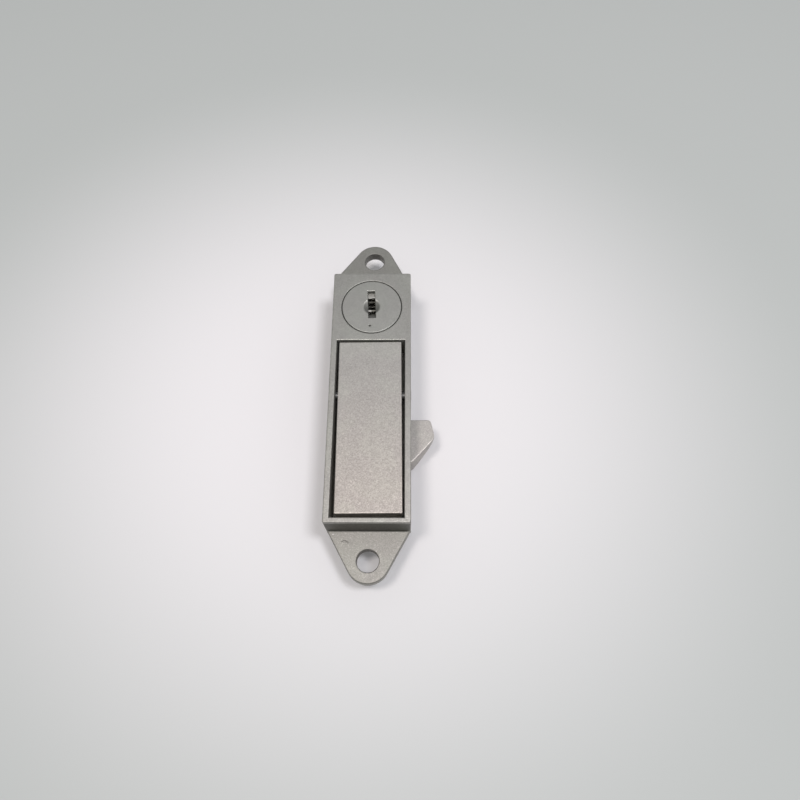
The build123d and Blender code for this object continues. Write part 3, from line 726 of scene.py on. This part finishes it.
def makeGateMark():
    # the short ridge where the gate was broken off the rim
    look = gateLook
    deselect()
    middle = (look["from"] + look["to"]) / 2
    length = look["to"] - look["from"]
    bpy.ops.mesh.primitive_cube_add(size=1, location=(look["x"], middle, front),
                                    scale=(look["across"], length, look["height"] * 2))
    ridge = bpy.context.object
    applyPlace()
    bpy.ops.object.mode_set(mode="EDIT")
    bpy.ops.mesh.select_mode(type="FACE")
    bpy.ops.mesh.select_all(action="SELECT")
    bpy.ops.mesh.subdivide(number_cuts=look["cuts"])
    pickVerts(ridge, lambda co: co.z > front + look["height"] * 0.9)
    bpy.ops.transform.resize(value=look["top"], center_override=(look["x"], middle, 0))
    pickVerts(ridge, lambda co: co.y > look["to"] - length * look["leanShare"])
    bpy.ops.transform.translate(value=(look["lean"], 0, 0))
    bpy.ops.object.mode_set(mode="OBJECT")
    soften = ridge.modifiers.new("soften", "SUBSURF")
    soften.levels = 2
    soften.render_levels = 2
    bakeModifiers(ridge)
    finishPiece(ridge, "gateMark", "housing_zinc")
    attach(ridge, "root")


def makeSeam():
    # the parting line round the side walls, cut from the housing's own outline
    look = seamLook
    deselect()
    seam = nodes["housing"].copy()
    seam.data = nodes["housing"].data.copy()
    seam.parent = None
    bpy.context.scene.collection.objects.link(seam)
    bpy.context.view_layer.objects.active = seam
    seam.select_set(True)
    bpy.ops.object.mode_set(mode="EDIT")
    bpy.ops.mesh.select_all(action="SELECT")
    bpy.ops.mesh.remove_doubles(threshold=look["weld"])
    bpy.ops.mesh.bisect(plane_co=(0, 0, look["level"]), plane_no=(0, 0, 1), clear_inner=True,
                        clear_outer=True)
    half = -cadBox[0].x
    pickVerts(seam, lambda co: abs(co.x) < half - look["shell"])
    bpy.ops.mesh.delete(type="VERT")
    bpy.ops.object.mode_set(mode="OBJECT")
    bpy.ops.object.convert(target="CURVE")
    seam.data.bevel_depth = look["bead"]
    seam.data.bevel_resolution = look["sides"]
    seam.data.use_fill_caps = True
    bpy.ops.object.convert(target="MESH")
    seam = bpy.context.object
    finishPiece(seam, "partingSeam", "housing_zinc")
    # the copy forgets whose copy it is, and its slot is set again
    for key in list(seam.keys()):
        del seam[key]
    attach(seam, "root")


makeEjectorMark()
makePips()
makeGateMark()
makeSeam()
print("casting marks made")

# Floor, light and camera
floorLook = {
    # painted pool of light: the floor's colour at its centre, fading to the far colour
    "near": (0.815, 0.797, 0.808),
    "far": (0.49, 0.51, 0.498),
    "centre": (-0.011, 0.007, 0),
    "stretch": (1, 1.11, 1),
    "fade": (0.025, 0.176),
    "rough": 0.6,
    "size": 4.0,
}
lightLook = {
    "lamps": (  # place, colour, watts
        ((0.225, -0.08, 0.80), (0.97, 0.965, 1.0), 2.64),
        ((-0.165, -0.08, 0.80), (1.0, 0.945, 0.915), 2.1),
    ),
    "across": 0.13,
    "along": 0.16,
    "room": (0.42, 0.425, 0.43),
    "roomDark": (0.20, 0.20, 0.205),  # the unlit side behind the camera
    "roomSlope": 0.6,  # how much it brightens upwards
    "roomBright": (0.60, 0.60, 0.61),  # the window side
}
cameraLook = {  # at the photograph's viewing angle
    "place": (0.01197, -0.08514, 0.19711),
    "turn": (23.144, 0.711, 0.3115),
    "lens": 30.387,
    "sensor": 36.0,
    "clipStart": 0.01,
}


def makeFloor():
    look = floorLook
    bpy.ops.mesh.primitive_plane_add(size=look["size"], location=(0, 0, cadBox[0].z))
    floor = bpy.context.object
    floor.name = "floor"
    material, root, place = startMaterial("floorPaint")
    squeezed = place.vectorNode("SUBTRACT", look["centre"]).vectorNode("MULTIPLY", look["stretch"])
    away = squeezed.vectorNode("LENGTH", output=1)
    # painted pool of light: darker away from the centre
    colour = away.above(*look["fade"]).blend(rgb(look["near"]), rgb(look["far"]))
    inputs = {"Base Color": colour, "Roughness": look["rough"]}
    endMaterial(root, root.make("ShaderNodeBsdfPrincipled", {}, inputs))
    floor.data.materials.append(material)


def makeLights():
    look = lightLook
    for place, colour, watts in look["lamps"]:
        bpy.ops.object.light_add(type="AREA", location=place)
        lamp = bpy.context.object
        lamp.rotation_euler = Vector(place).to_track_quat("Z", "Y").to_euler()
        lamp.data.shape = "RECTANGLE"
        lamp.data.size = look["across"]
        lamp.data.size_y = look["along"]
        lamp.data.energy = watts
        lamp.data.color = colour
    world = bpy.data.worlds.new("room")
    bpy.context.scene.world = world
    world.use_nodes = True
    tree = world.node_tree
    toward = Sock(tree, None).take("ShaderNodeTexCoord")
    lit = (toward.part(1) + toward.part(2) * look["roomSlope"]).above(-1.0, 0.0)
    colour = lit.blend(rgb(look["roomDark"]), rgb(look["room"]))
    colour = toward.part(0).above(0.0, 1.0).blend(colour, rgb(look["roomBright"]))
    tree.links.new(colour.out, tree.nodes["Background"].inputs["Color"])


def makeCamera():
    look = cameraLook
    bpy.ops.object.camera_add(location=look["place"], rotation=[math.radians(a) for a in look["turn"]])
    camera = bpy.context.object
    camera.data.lens = look["lens"]
    camera.data.sensor_width = look["sensor"]
    camera.data.clip_start = look["clipStart"]
    bpy.context.scene.camera = camera


makeFloor()
makeLights()
makeCamera()
print("stage made")

bpy.context.scene.view_settings.view_transform = "Standard"
